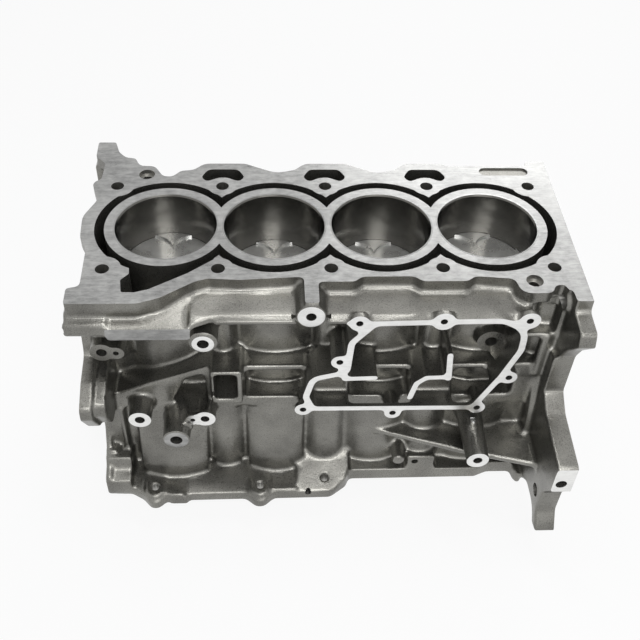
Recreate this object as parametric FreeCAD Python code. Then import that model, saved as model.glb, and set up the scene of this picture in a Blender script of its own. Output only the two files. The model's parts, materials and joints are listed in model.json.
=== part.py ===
"""Short block of an in-line four-cylinder engine: an open-deck aluminium casting
with its iron liners, crankshaft, bearings, connecting rods and pistons.

Frame: X runs along the crankshaft, +X towards the transmission.  +Y is the rear
(drain) side and -Y the front side that carries the oil-separator flange.  +Z is up.
The origin lies on the head joint face, on the bore line, midway between the bores.
All sizes are millimetres.
"""
import FreeCAD, Part
import math
import os

V = FreeCAD.Vector

# ---------------------------------------------------------------- driving sizes
PITCH = 94.0                      # bore to bore
BORE_R = 43.0
THROW = 42.0                      # half the stroke
ROD_LENGTH = 140.0                # big-end centre to small-end centre
COMPRESSION = 30.0                # wrist pin to crown
REST_ANGLE = 84.0                 # crank angle of cylinders 1 and 4 past top, degrees

CYLINDER_X = [PITCH * k for k in (-1.5, -0.5, 0.5, 1.5)]
MAIN_X = [PITCH * k for k in (-2, -1, 0, 1, 2)]
CRANK_Z = -(THROW + ROD_LENGTH + COMPRESSION)

LINER_WALL = 2.5
LINER_R = BORE_R + LINER_WALL
LINER_BOTTOM = -134.0
BARREL_R = 53.0                   # water side of a barrel
JACKET_R = 61.3                   # water side of the outer wall
OUTER_R = 66.5                    # outside of the jacket wall
JACKET_DEPTH = 90.0
DECK_T = 12.0                     # depth of the deck's flange

HEAD_BOLT_X = (-189.0, -PITCH, 0.0, PITCH, 189.0)
HEAD_BOLT_Y = 56.3
HEAD_BOLT_R = 4.6                 # tapped for M10
HEAD_BOLT_DEPTH = 88.0
HEAD_BORE_R = 5.8                 # counterbore that drops the thread below the deck
HEAD_BORE_DEPTH = 15.0
BOLT_LAND_R = 13.2
END_LAND_R = 15.5

END_LEFT = -213.0                 # timing cover face
END_LEFT_LOW = -208.0             # crankcase end below it
END_RIGHT = 212.3                 # transmission face
WALL_LEFT = -204.0
WALL_RIGHT = 194.0
MID_TOP = -91.0                   # top of the mid-height box ribs
MID_BOTTOM = -145.0
MID_Y = 84.0
RAIL_TOP = -230.0
RAIL_Z = -240.0                   # sump face
BULKHEAD_T = 20.0
CASE_Y = 78.0                     # crankcase wall, outside, at the grooves
BULGE = 7.0                       # how far its bulges stand out
BAY_R = 72.0                      # crankcase wall, inside, round the crank axis
BAY_TOP_R = 58.0                  # bay round a barrel's foot
BAY_TOP = -108.0
BARREL_FOOT_R = 49.0              # barrel where it hangs into its bay
CORE_BOTTOM = -128.0              # the barrels' outer walls reach down to here

MAIN_R = 27.0                     # main journal
MAIN_SHELL = 2.0
PIN_R = 21.5                      # crankpin
ROD_SHELL = 1.5
RUNNING = 0.03                    # radial oil clearance
MAIN_BORE_R = MAIN_R + RUNNING + MAIN_SHELL
ROD_BORE_R = PIN_R + RUNNING + ROD_SHELL
PIN_LENGTH = 26.0                 # crankpin length between webs
MAIN_LENGTH = 24.0
WEB_T = (PITCH - PIN_LENGTH - MAIN_LENGTH) / 2
WRIST_R = 10.5
SMALL_END_GAP = 1.1               # the linkage is opened at this pivot
ROD_SWEEP_R = 79.8                # relief in the crankcase wall for the big ends
CAP_HALF = 56.0                   # main cap, half width
CAP_DEPTH = 42.0                  # main cap, below the crank axis
CAP_T = 22.0
CAP_BOLT_Y = 43.0
SEAL_R = 42.0                     # crankshaft flange, under its oil seal
SEAL_BORE_R = 49.0


# ---------------------------------------------------------------- form helpers
def at(axis, u, v, w):
    """A point from two in-plane coordinates and one along the axis."""
    return {"x": V(w, u, v), "y": V(u, w, v), "z": V(u, v, w)}[axis]


def along(axis, length):
    return at(axis, 0, 0, length)


def outline(axis, points, w, radius=0.0):
    """Closed wire through the points, each corner an arc of its own or the given radius."""
    count = len(points)
    corner = []
    for i, p in enumerate(points):
        here = V(p[0], p[1], 0)
        before = V(*points[i - 1][:2], 0) - here
        after = V(*points[(i + 1) % count][:2], 0) - here
        r = p[2] if len(p) > 2 else radius
        half = before.getAngle(after) / 2
        if r <= 0 or half > math.radians(88):
            corner.append((here, None, here))
            continue
        reach = min(r / math.tan(half), 0.49 * before.Length, 0.49 * after.Length)
        r = reach * math.tan(half)
        before.normalize()
        after.normalize()
        middle = before + after
        middle.normalize()
        top = here + middle * (r / math.sin(half) - r)
        corner.append((here + before * reach, top, here + after * reach))
    edges = []
    for i, (start, top, end) in enumerate(corner):
        s, e = at(axis, start.x, start.y, w), at(axis, end.x, end.y, w)
        if top is not None:
            edges.append(Part.Arc(s, at(axis, top.x, top.y, w), e).toShape())
        following = corner[(i + 1) % count][0]
        f = at(axis, following.x, following.y, w)
        if (f - e).Length > 1e-6:
            edges.append(Part.LineSegment(e, f).toShape())
    return Part.Wire(Part.__sortEdges__(edges))


def prism(axis, points, w0, w1, radius=0.0):
    face = Part.Face(outline(axis, points, w0, radius))
    return face.extrude(along(axis, w1 - w0))


def block(x0, x1, y0, y1, z0, z1):
    return Part.makeBox(x1 - x0, y1 - y0, z1 - z0, V(x0, y0, z0))


def rod(axis, u, v, radius, w0, w1, end_radius=None):
    """Round bar along an axis, tapered where an end radius is given."""
    start, direction = at(axis, u, v, w0), along(axis, w1 - w0)
    height = abs(w1 - w0)
    if end_radius is None:
        return Part.makeCylinder(radius, height, start, direction)
    return Part.makeCone(radius, end_radius, height, start, direction)


def ring(axis, u, v, outer, inner, w0, w1):
    return rod(axis, u, v, outer, w0, w1).cut(rod(axis, u, v, inner, w0, w1))


def strip(axis, path, width, w0, w1):
    """A wall of constant width along an open path, round at its ends and corners."""
    half = width / 2
    pieces = [rod(axis, u, v, half, w0, w1) for u, v in path]
    for (u0, v0), (u1, v1) in zip(path, path[1:]):
        run = V(u1 - u0, v1 - v0, 0)
        side = V(-run.y, run.x, 0).normalize() * half
        quad = [(u0 + side.x, v0 + side.y), (u1 + side.x, v1 + side.y),
                (u1 - side.x, v1 - side.y), (u0 - side.x, v0 - side.y)]
        pieces.append(prism(axis, quad, w0, w1))
    return joined(pieces)


def joined(pieces):
    return pieces[0].fuse(pieces[1:]) if len(pieces) > 1 else pieces[0]


def mirrored(shape, normal):
    return shape.mirror(V(0, 0, 0), normal)


def both_sides(shapes):
    """The shapes and their mirror images across the bore line."""
    return shapes + [mirrored(s, V(0, 1, 0)) for s in shapes]


def turned(shape, centre_y, centre_z, degrees):
    """Rotated about an axis parallel to the crankshaft."""
    copy = shape.copy()
    copy.rotate(V(0, centre_y, centre_z), V(1, 0, 0), degrees)
    return copy


# ---------------------------------------------------------------- block casting
REAR_EARS = MAIN_X[1:4]           # drain columns behind the inner head bolts


def deck_outline():
    """Edge of the head joint face, anticlockwise from the rear left corner."""
    left = [(-214.5, 125.4, 1), (-214, 102, 2), (-204, 91, 3), (-204.8, 66, 3),
            (-209.5, 63.5, 2), (-211.5, 58.5, 4), (-204.6, 35, 6), (-214.5, 12, 24),
            (-212.5, -17, 20), (-205.6, -31, 5), (-204.5, -77, 2), (-215, -79.5, 2),
            (-214.5, -97.6, 1.5)]
    front = [(-157, -97.6, 14), (-139.2, -91, 14), (-113, -72.5, 10),
             (-102, -68.5, 6), (-77, -70.5, 6)]
    for x in (0.0, PITCH):
        front += [(x - 25, -67, 8), (x - 19, -73, 8), (x + 19, -73, 8), (x + 25, -67, 8)]
    lobe = [(152.5, -70.5, 6), (155, -88, 13), (181, -88, 11), (184.5, -78, 6),
            (197.5, -78.3, 2), (199, -97.6, 1), (END_RIGHT, -97.8, 1)]
    right = [(END_RIGHT, 95.6, 2), (196.5, 95.6, 1), (193.5, 88, 3), (114, 88, 3)]
    rear = []
    for x in reversed(REAR_EARS):
        rear += [(x + 20, 91.3, 10), (x - 18, 91.3, 12), (x - 27, 81.5, 10), (x - 45, 76.3, 20)]
    wing = [(-133.5, 79.5, 6), (-140.5, 70.5, 6), (-149.5, 71.5, 6), (-157.8, 87, 8),
            (-172, 87.5, 6), (-177, 99.5, 5), (-186, 100.5, 6), (-193.3, 109, 8),
            (-198, 125.4, 2)]
    return left + front + lobe + right + rear[:-1] + wing


def bulge(centre, half, bottom, reach):
    """Vertical bulge of the crankcase wall: round across, leaning out to its reach."""
    back, chord, top = -CASE_Y + 14, -CASE_Y, MID_BOTTOM + 4
    corners = [V(centre - half, back, top), V(centre - half, chord, top)]
    corners += [V(centre + half, chord, top), V(centre + half, back, top)]
    edges = [Part.LineSegment(corners[0], corners[1]).toShape(),
             Part.Arc(corners[1], V(centre, chord - BULGE, top), corners[2]).toShape(),
             Part.LineSegment(corners[2], corners[3]).toShape(),
             Part.LineSegment(corners[3], corners[0]).toShape()]
    face = Part.Face(Part.Wire(edges))
    lean = V(0, CASE_Y + BULGE - reach, CRANK_Z - top)
    column = face.extrude(lean)
    face.translate(lean)
    column = column.fuse(face.extrude(V(0, 0, bottom - CRANK_Z)))
    end = min(0.8 * half, 22)
    front = [(centre - half - 1, top + 1), (centre - half - 1, bottom, end),
             (centre + half + 1, bottom, end), (centre + half + 1, top + 1)]
    return column.common(prism("y", front, -reach - 1, back + 1))


def crankcase():
    """Skirt with a broad bulge at each cylinder and a narrow one at each inner main bearing."""
    profile = [(0, MID_BOTTOM + 4), (-CASE_Y, MID_BOTTOM + 4), (-CASE_Y, -160),
               (-CASE_Y - 6, RAIL_TOP - 2), (0, RAIL_TOP - 2)]
    parts = [prism("x", profile, WALL_LEFT, WALL_RIGHT + 2)]
    parts += [bulge(CYLINDER_X[0] - 2, 32, -232, 103), bulge(CYLINDER_X[1], 26, -232, 98)]
    parts += [bulge(x, 26, -232, 88) for x in CYLINDER_X[2:]]
    parts += [bulge(x, 16.5, -224, 91) for x in MAIN_X[1:4]]
    return both_sides(parts)


def upper_body():
    """Jacket wall, head-bolt columns and the closed ends of the water jacket."""
    low, high = MID_TOP - 4, -1.0
    parts = [rod("z", x, 0, OUTER_R, CORE_BOTTOM, high) for x in CYLINDER_X]
    parts.append(block(-190, 190, -50, 50, low, high))
    parts.append(block(WALL_LEFT, -186, -58, 60, low, high))
    parts.append(block(186, WALL_RIGHT + 2, -60, 62, low, high))
    for x in HEAD_BOLT_X:
        r = END_LAND_R if abs(x) > 150 else BOLT_LAND_R
        for y in (-HEAD_BOLT_Y, HEAD_BOLT_Y):
            parts.append(rod("z", x, y, r, low, high))
    parts.append(prism("z", [(-202, -89), (-158, -89), (-110, -67), (-110, -40), (-202, -40)],
                       -49, high, 8))
    return parts


def middle_body():
    """Core between the jacket floor and the crankcase, flared where it meets the skirt."""
    core = [(-58, MID_TOP + 4), (-58, -122), (-CASE_Y, -136), (-CASE_Y, MID_BOTTOM),
            (CASE_Y, MID_BOTTOM), (CASE_Y, -136), (58, -122), (58, MID_TOP + 4)]
    return [prism("x", core, WALL_LEFT, WALL_RIGHT + 2)]


def front_box():
    """Box ribs along the front at mid height, with the sloping rib at the left."""
    edge = [(-204, -131), (-109, -92.5), (-103, MID_TOP + 3.5), (-77, MID_TOP + 3.5), (-76, MID_TOP),
            (WALL_RIGHT + 2, MID_TOP), (WALL_RIGHT + 2, MID_BOTTOM), (-204, MID_BOTTOM)]
    frame = [(-104, -87), (-76, -87), (-76, -129), (-104, -129)]
    ribs = prism("y", edge, -MID_Y, -56)
    return [ribs, prism("y", frame, -95, -60, 2)]


def front_windows():
    """Pockets between the front ribs; the barrels show at their backs."""
    triangle = [(-127, -108), (-110, -101), (-108, -138), (-141, -139)]
    pockets = [prism("y", triangle, -100, -60, 4),
               prism("y", [(-101, -91), (-81, -91), (-81, -123), (-101, -123)], -100, -64, 3)]
    for x in CYLINDER_X[1:]:
        pockets.append(prism("y", [(x - 28, -97), (x + 28, -97), (x + 28, -133), (x - 28, -133)],
                             -100, -60, 5))
    barrels = [rod("z", x, 0, OUTER_R, CORE_BOTTOM, MID_TOP) for x in CYLINDER_X]
    passages = [rod("y", x, -101, 8, -100, -56) for x in (-5.0, 85.0)]
    return [pocket.cut(barrels) for pocket in pockets] + passages


def shelf():
    """Thin cast shelf under the deck's front edge and its machined strip at the left."""
    profile = [(-60, -9), (-72, -12), (-98, -13.5), (-100, -15, 1), (-100, -19.5), (-72, -18), (-60, -22)]
    long = prism("x", profile, -96, 166)
    slope = [(-60, -9), (-72, -12), (-98, -13.5), (-109, -15.5), (-109, -21), (-72, -19), (-60, -22)]
    plan = [(-95, -60), (-95, -98.5), (-116, -107.5), (-116, -60)]
    corner = prism("x", slope, -116, -95).common(prism("z", plan, -22, -9))
    ledge = [(-60, -8), (-80, -12), (-97, -17), (-108, -19), (-108, -31), (-90, -30), (-62, -42)]
    milled = prism("x", ledge, -182, -116)
    finger = block(-23, -11.5, -98, -66, -14, 0)
    boss = rod("y", -17.8, -14, 12, -100, -64)
    return [long, corner, milled, finger, boss]


# The separator flange: two outlines of one band, and its bolt bosses (x, z, radius).
SEPARATOR_Y = -104.0
SEPARATOR_LOOP = [(-16, -128.5, 8), (-23.5, -110, 12), (-17, -83.5, 14), (11.5, -75.5, 5),
                  (13.5, -40, 12), (33, -15.5, 12), (141, -13, 26), (163, -26, 22), (163.5, -52, 18),
                  (152, -86, 20), (132, -129.5, 8)]
SEPARATOR_BAND = 5.6
SHELF_Z = -30.0                   # bosses above this stand on the shelf's edge
SEPARATOR_BOSS = [(21.5, -18, 8.5), (7.5, -64.5, 7.5), (-22.5, -127, 7.5), (58.5, -133, 7.5),
                  (90.5, -16.5, 9.5), (161.5, -16.5, 9), (156.5, -86.5, 7.5), (134.5, -127, 7.5)]


def separator():
    """Flange of the oil separator, its bolt bosses and the two baffles inside it."""
    rim = Part.Face(outline("y", SEPARATOR_LOOP, SEPARATOR_Y))
    hollow = Part.Face(rim.OuterWire.makeOffset2D(-SEPARATOR_BAND))
    depth = V(0, -70 - SEPARATOR_Y, 0)
    band = rim.extrude(depth).cut(hollow.extrude(depth))
    bosses = [rod("y", x, z, r, SEPARATOR_Y, -98 if z > SHELF_Z else -66)
              for x, z, r in SEPARATOR_BOSS]
    maze_left = [(11, -76), (13, -86), (39, -85)]
    maze_right = [(72, -112), (76, -93), (84, -85.5), (100, -85), (103.5, -87), (101, -57)]
    walls = [strip("y", maze_left, 5, SEPARATOR_Y, -66), strip("y", maze_right, 5, SEPARATOR_Y, -66)]
    return [band] + bosses + walls


# Front bosses: x, z, base y, face y, face radius, base radius, hole radius, hole depth.
FRONT_BOSS = [
    (-107, -45, -60, -100, 12, 13, 5, 25),
    (-194, -65, -55, -90, 10, 11, 4.5, 18), (-182, -66, -55, -90, 7, 8, 2.5, 12),
    (-168, -137, -70, -105.5, 10, 12, 4.5, 20),
    (-136, -152, -70, -117, 12, 14, 5.5, 30),
    (-110.5, -141, -70, -102, 9.5, 11, 4, 20), (-121.5, -142.5, -70, -102, 7, 8.5, 2.2, 12),
    (133, -153, -70, -143.5, 10, 13, 4.2, 26),
    (143, -70, -58, -76, 12.5, 13.5, 5.5, 16),
    (71, -207, -76, -100, 6, 7.5, 0, 0),
]
# Pairs of bosses that share one face: their centres and the face's y.
BOSS_LINKS = [((-194, -65), (-182, -66), -90), ((-110.5, -141), (-121.5, -142.5), -102)]


def front_bosses():
    """Tapered bosses for brackets and sensors; two pairs share one machined face."""
    cones = [rod("y", x, z, rb, y0, y1, rf) for x, z, y0, y1, rf, rb, rh, d in FRONT_BOSS]
    return cones + [strip("y", ends[:2], 11, ends[2], -66) for ends in BOSS_LINKS]


LUG_X = (-162.0, -62.0)           # sump bolt lugs on the front rail
LUG_Y = -115.5
RAIL_HOLES = [(LUG_X[0], LUG_Y), (LUG_X[1], LUG_Y), (0, -108)]


def rail():
    """Sump rail: its plan cut to a section that coves up into the skirt, then its lugs."""
    plan = [(-208, -112.5, 3), (-185, -113.5, 8), (-173, -121, 8), (LUG_X[0], -134, 12),
            (-150, -122.5, 8), (-147, -125.5, 3), (-132, -125.5, 2), (-130, -122, 2),
            (-76, -121.5, 8), (LUG_X[1], -134, 12), (-49, -121.5, 8), (5, -121, 8), (21, -109, 6),
            (25, -100, 4), (150, -99.5, 6), (163, -94, 6), (186, -94, 2), (188, -104, 2),
            (WALL_RIGHT + 2, -104, 2), (WALL_RIGHT + 2, -66), (-208, -66)]
    section = [(-140, RAIL_Z), (-140, -233.5), (-120, -230), (-104, -227, 6), (-80, -225, 6),
               (-76, -210), (-62, -210), (-62, RAIL_Z)]
    edge = prism("z", plan, RAIL_Z, -190).common(prism("x", section, -215, 215))
    lugs = []
    for x in LUG_X:
        lug = [(x - 9, -84), (x - 9, -127, 8.9), (x + 9, -127, 8.9), (x + 9, -84)]
        lugs.append(prism("z", lug, RAIL_Z + 1, -226))
    pads = [block(-150, -135, -124, -100, -238, -227.5), block(-50, -28, -120, -98, -238, -227.5)]
    lobe = [(-80, -210), (-92, -218, 3), (-112, -226.5, 2), (-119.5, -230, 2), (-119.5, -238),
            (-80, -238)]
    right = prism("z", [(-7.5, -80), (-7.5, -122), (6, -122, 6), (21, -109, 5), (24, -98),
                        (24, -80)], -239, -200)
    pads += [prism("x", lobe, -26.5, -9.5), prism("x", lobe, -7.5, 24).common(right)]
    pads.append(block(81, 108, -98, -76, -237, -209))
    corner = [(-80, -203), (-98, -203, 2), (-102, -214, 2), (-115, -219, 2), (-115, -237), (-80, -237)]
    pads.append(prism("x", corner, END_LEFT_LOW, -184))
    pads.append(block(-190, -186, -87, -70, -212, MID_BOTTOM))
    rear = [mirrored(piece, V(0, 1, 0)) for piece in [edge] + lugs]
    end = block(END_LEFT_LOW, -198, -92, 92, RAIL_Z, -200)
    return [edge] + lugs + pads + rear + [end]


def transmission_flange():
    """End plate towards the transmission, with its mounting ears and pad."""
    front = [(-97.8, 0, 1), (-98, -12, 3), (-122, -14, 3), (-126, -26, 3), (-106, -50, 6),
             (-98, -66, 8), (-97, -113, 4), (-116, -123.5, 4), (-172, -128.5, 3), (-172, -161, 3),
             (-158.5, -182, 6), (-158, -210, 6), (-171, -230, 2), (-158, -232, 2), (-147, -219, 18),
             (-122, -219, 12), (-108, -231, 6), (-96, RAIL_Z, 3)]
    rear = [(96, RAIL_Z, 3), (112, -226, 8), (148, -214, 12), (163, -196, 14), (158, -150, 20),
            (132, -92, 24), (110, -46, 10), (95.6, -14, 4), (95.6, 0, 1)]
    plate = prism("x", front + rear, WALL_RIGHT, END_RIGHT)
    plate = plate.cut(block(WALL_RIGHT - 1, WALL_RIGHT + 4.5, -130, -84, -70, 1))
    top = prism("x", [(-77, -1), (-77, -24), (78, -24), (86, -14), (86, -1)], 182, WALL_RIGHT + 1)
    gusset = prism("z", [(34, -70), (34, -84), (126, -114, 2), (191, -131, 2), (197, -131),
                         (197, -70)], -183, -177)
    brace = prism("x", [(-70, -178), (-95, -178), (-84, -103), (-70, -100)], 188, 195)
    ribs = [block(165, 195, -85, -60, z - 2.5, z + 2.5) for z in (-54, -103)]
    ribs.append(rod("z", 188, -82, 5, -103, -54))
    return [plate, top, gusset, brace] + ribs


def timing_flange():
    """Rims of the timing-case face at the left end, its ears and the step below them."""
    front = [(-66, -20), (-90, -34, 6), (-72, -60, 12), (-76, -82, 8), (-104, -88, 10),
             (-126, -99, 6), (-127, -110, 8), (-108, -142, 8), (-82, -152, 6), (-64, -152)]
    low = [(-60, -146), (-79, -146), (-79, -182, 8), (-92, -206, 6), (-113, -216, 3),
           (-113, RAIL_Z, 2), (-60, RAIL_Z)]
    rear = [(101.5, -1), (101.5, -30, 8), (76, -72, 16), (60, -150), (60, RAIL_Z), (92, RAIL_Z, 3),
            (96, -150, 20), (104, -60, 20), (125.4, -24, 4), (125.4, -1)]
    ear = [(-97.6, -1), (-97.6, -16), (-81, -24), (-81, -1)]
    ledge = [(-97.6, -15), (-107, -17, 1), (-107, -28, 2), (-82, -36), (-82, -15)]
    return [prism("x", front, END_LEFT, WALL_LEFT + 1), prism("x", low, END_LEFT_LOW, WALL_LEFT + 1),
            prism("x", rear, END_LEFT, WALL_LEFT + 1), prism("x", ear, END_LEFT, -197),
            prism("x", ledge, END_LEFT, -183)]


def left_lug():
    """Lug behind the timing rim: an upright ridge with a valley between it and the rim."""
    ridge = [(-60, -86), (-98, -90, 10), (-121, -99, 7), (-122, -111, 8), (-105, -141, 10), (-60, -150)]
    valley = [(-56, -92), (-94, -95, 10), (-114, -101, 7), (-115, -110, 8), (-101, -137, 10),
              (-56, -144)]
    return [prism("x", valley, WALL_LEFT - 1, -198), prism("x", ridge, -199, -192)]


def rear_side():
    """Drain columns, box ribs, filter pad and mounting bosses of the rear side."""
    parts = []
    for x in REAR_EARS:
        foot = [(x - 24, 60, 4), (x - 24, 78, 6), (x - 17, 91.3, 9), (x + 17, 91.3, 9),
                (x + 24, 78, 6), (x + 24, 60, 4)]
        parts.append(prism("z", foot, -170, -1))
    box = [(-204, MID_TOP), (196, MID_TOP), (196, MID_BOTTOM), (-204, MID_BOTTOM)]
    parts.append(prism("y", box, 60, MID_Y, 2))
    parts.append(prism("y", [(116, 0), (196, 0), (196, -26), (116, -20)], 60, 88))
    parts.append(rod("y", -141, -185, 36, 70, 96))
    for x, z in ((60, -165), (60, -205), (128, -165), (128, -205)):
        parts.append(rod("y", x, z, 14, 70, 104, 12))
    parts.append(rod("y", 0, -112, 13, 70, 100, 12))
    return parts


def rear_windows():
    cuts = []
    for x in CYLINDER_X:
        cuts.append(prism("y", [(x - 20, -97), (x + 20, -97), (x + 20, -137), (x - 20, -137)],
                          74, 100, 5))
    return cuts


def drain_slots():
    """Bean-shaped oil drains behind the inner head bolts, down to the crankcase."""
    cuts = []
    for x in REAR_EARS:
        bean = [(x - 20, 70, 4), (x - 14, 82, 6), (x + 14, 82, 6), (x + 20, 70, 4),
                (x + 15, 63, 3), (x, 71.5, 14), (x - 15, 63, 3)]
        cuts.append(prism("z", bean, -162, 1))
    return cuts


def jacket_void():
    """Open water jacket between the barrels and the outer wall."""
    z0 = -JACKET_DEPTH
    outer = [rod("z", x, 0, JACKET_R, z0, 1) for x in CYLINDER_X]
    pocket = [(-150, -45), (-98, -38), (-98, -44.8), (-118.4, -61.6), (-149, -81, 6),
              (-160, -84.5, 4), (-170.7, -84.3, 2), (-172.7, -69.9, 2), (-166.4, -62.2, 2),
              (-167.3, -54)]
    space = joined(outer)
    lands = []
    for x in HEAD_BOLT_X:
        r = END_LAND_R if abs(x) > 150 else BOLT_LAND_R
        lands += [rod("z", x, y, r, z0 - 1, 2) for y in (-HEAD_BOLT_Y, HEAD_BOLT_Y)]
    barrels = [rod("z", x, 0, BARREL_R, z0 - 1, 2) for x in CYLINDER_X]
    space = space.cut(lands + barrels)
    extra = prism("z", pocket, -42, 1).cut(barrels[0])
    return [space, extra]


def bays():
    """Crankcase space of each cylinder: round about the crank, and round about the barrel's foot."""
    cuts = []
    half = (PITCH - BULKHEAD_T) / 2
    for x in CYLINDER_X:
        limits = block(x - half, x + half, -90, 90, CRANK_Z, 0)
        pocket = rod("z", x, 0, BAY_TOP_R, CRANK_Z + 40, BAY_TOP).common(limits)
        cuts.append(pocket.cut(rod("z", x, 0, BARREL_FOOT_R, LINER_BOTTOM, BAY_TOP + 5)))
        cuts.append(rod("x", 0, CRANK_Z, BAY_R, x - half, x + half))
        cuts.append(block(x - half, x + half, -BAY_R, BAY_R, RAIL_Z - 1, CRANK_Z))
        cuts.append(rod("x", 0, CRANK_Z, ROD_SWEEP_R, x - ROD_T / 2 - 1, x + ROD_T / 2 + 1))
    return cuts


def bearing_cuts():
    """Main bores, cap registers and the relief of each bulkhead."""
    cuts = [rod("x", 0, CRANK_Z, MAIN_BORE_R, -230, 201)]
    cuts.append(rod("x", 0, CRANK_Z, SEAL_BORE_R, 199.9, 230))
    for x in MAIN_X:
        cuts.append(block(x - 30 if x < -150 else x - 12, x + 12, -CAP_HALF, CAP_HALF,
                          RAIL_Z - 1, CRANK_Z))
        if abs(x) < 150:
            for y in (-57, 57):
                cuts.append(rod("x", y, -185, 7, x - 12, x + 12))
    return cuts


def bolt_holes():
    cuts = []
    for x in HEAD_BOLT_X:
        for y in (-HEAD_BOLT_Y, HEAD_BOLT_Y):
            cuts.append(rod("z", x, y, HEAD_BOLT_R, -HEAD_BOLT_DEPTH, 1))
            cuts.append(rod("z", x, y, HEAD_BORE_R, -HEAD_BORE_DEPTH, 1))
    for x, y in ((-164, 74), (168.6, -73)):
        cuts.append(rod("z", x, y, 7.2, -6, 1))
        cuts.append(rod("z", x, y, 5, -30, 1))
    for x, z, y0, y1, rf, rb, rh, depth in FRONT_BOSS:
        if rh:
            cuts.append(rod("y", x, z, rh, y1 - 1, y1 + depth))
    cuts.append(rod("y", -17.8, -14, 4.3, -101, -74))
    for x, z, r in SEPARATOR_BOSS:
        cuts.append(rod("y", x, z, 3, SEPARATOR_Y - 1, SEPARATOR_Y + 22))
    for x, y in RAIL_HOLES:
        cuts += [rod("z", x, s * y, 3.6, RAIL_Z - 1, -200) for s in (1, -1)]
    for x in (55, 150):
        cuts += [rod("z", x, s * 88, 3.6, RAIL_Z - 1, RAIL_Z + 12) for s in (1, -1)]
    for x in MAIN_X:
        cuts += [rod("z", x, y, 4.6, CRANK_Z - 1, CRANK_Z + 45) for y in (-CAP_BOLT_Y, CAP_BOLT_Y)]
    cuts.append(rod("y", 201.5, -150.5, 5, -173, -150))
    for y, z in TRANSMISSION_HOLES:
        cuts.append(rod("x", y, z, 6.5, 190, 213))
    for x, z in ((60, -165), (60, -205), (128, -165), (128, -205)):
        cuts.append(rod("y", x, z, 4.6, 84, 105))
    cuts.append(rod("y", 0, -112, 4.2, 80, 101))
    cuts.append(rod("y", -141, -185, 11, 60, 97))
    cuts.append(ring("y", -141, -185, 31, 25, 90, 97))
    cuts.append(prism("z", [(147, 73), (193.5, 73), (193.5, 85), (147, 85)], -1.6, 1, 5.8))
    cuts.append(rod("y", 88.5, -217, 3.2, -98, -84))
    cuts.append(rod("y", -16, -232, 3, -121, -104))
    return cuts


TRANSMISSION_HOLES = [(-145, -198), (145, -198), (-84, -14), (84, -14)]


def cylinder_block():
    solids = upper_body() + middle_body() + crankcase() + front_box() + shelf() + separator()
    solids += front_bosses() + rail() + transmission_flange() + timing_flange() + left_lug()
    solids += rear_side()
    deck = prism("z", deck_outline(), -DECK_T, 0)
    body = deck.fuse(solids)
    bores = [rod("z", x, 0, LINER_R, LINER_BOTTOM - 30, 1) for x in CYLINDER_X]
    cuts = bores + jacket_void() + bays() + bearing_cuts() + front_windows() + rear_windows()
    cuts += drain_slots() + bolt_holes()
    body = body.cut(cuts)
    return body.removeSplitter()


# ---------------------------------------------------------------- linkage at rest
def crank_angle(cylinder):
    """Angle of a crankpin past top centre; the inner pair is half a turn behind."""
    return math.radians(REST_ANGLE if cylinder in (0, 3) else REST_ANGLE + 180)


def crankpin(cylinder):
    a = crank_angle(cylinder)
    return THROW * math.sin(a), CRANK_Z + THROW * math.cos(a)


def rod_lean(cylinder):
    """Lean of a connecting rod from the vertical, degrees, about +X."""
    return math.degrees(math.asin(crankpin(cylinder)[0] / ROD_LENGTH))


def wrist_z(cylinder):
    y, z = crankpin(cylinder)
    return z + math.sqrt(ROD_LENGTH ** 2 - y ** 2)


# ---------------------------------------------------------------- moving pieces
def liner(x):
    """Iron liner with a lead-in chamfer for the rings."""
    tube = ring("z", x, 0, LINER_R, BORE_R, LINER_BOTTOM, 0)
    return tube.cut(rod("z", x, 0, BORE_R, -1.6, 0, BORE_R + 1.0))


RING_GROOVES = [(-5.5, 1.2), (-10.5, 1.5), (-16.0, 2.5)]     # top below crown, height
PISTON_R = BORE_R - 0.05
LAND_R = BORE_R - 0.35
GROOVE_R = 39.2
SKIRT = 52.0


def piston(x, cylinder):
    """Piston with shallow crown pockets, ring grooves, skirt and pin bosses."""
    top = wrist_z(cylinder) + COMPRESSION
    pin = top - COMPRESSION
    body = rod("z", x, 0, LAND_R, top - 20, top)
    body = body.fuse(rod("z", x, 0, PISTON_R, top - SKIRT, top - 19.9))
    inside = rod("z", x, 0, 37.5, top - SKIRT - 1, top - 9)
    bosses = [block(x - 36, x - 14, -17, 17, pin - 14, top - 9),
              block(x + 14, x + 36, -17, 17, pin - 14, top - 9),
              rod("x", 0, pin, 16, x - 36, x - 14), rod("x", 0, pin, 16, x + 14, x + 36)]
    body = body.cut(inside.cut(joined(bosses)))
    cuts = [rod("x", 0, pin, WRIST_R + 0.01, x - 50, x + 50)]
    for side in (-1, 1):
        cuts.append(block(x + side * 43 - 11, x + side * 43 + 11, -26, 26, top - SKIRT - 1, top - 21))
        cuts.append(rod("z", x + side * 18.6, 20, 19.2, top - 2.6, top + 1))
        cuts.append(rod("z", x + side * 17.5, -21.5, 16, top - 2.2, top + 1))
        cuts.append(ring("x", 0, pin, WRIST_R + 1.0, WRIST_R - 1, x + side * 29.4 - 0.7,
                         x + side * 29.4 + 0.7))
    for depth, height in RING_GROOVES:
        z0 = top + depth - height
        cuts.append(ring("z", x, 0, 46, GROOVE_R, z0, top + depth))
    return body.cut(cuts).removeSplitter()


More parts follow.
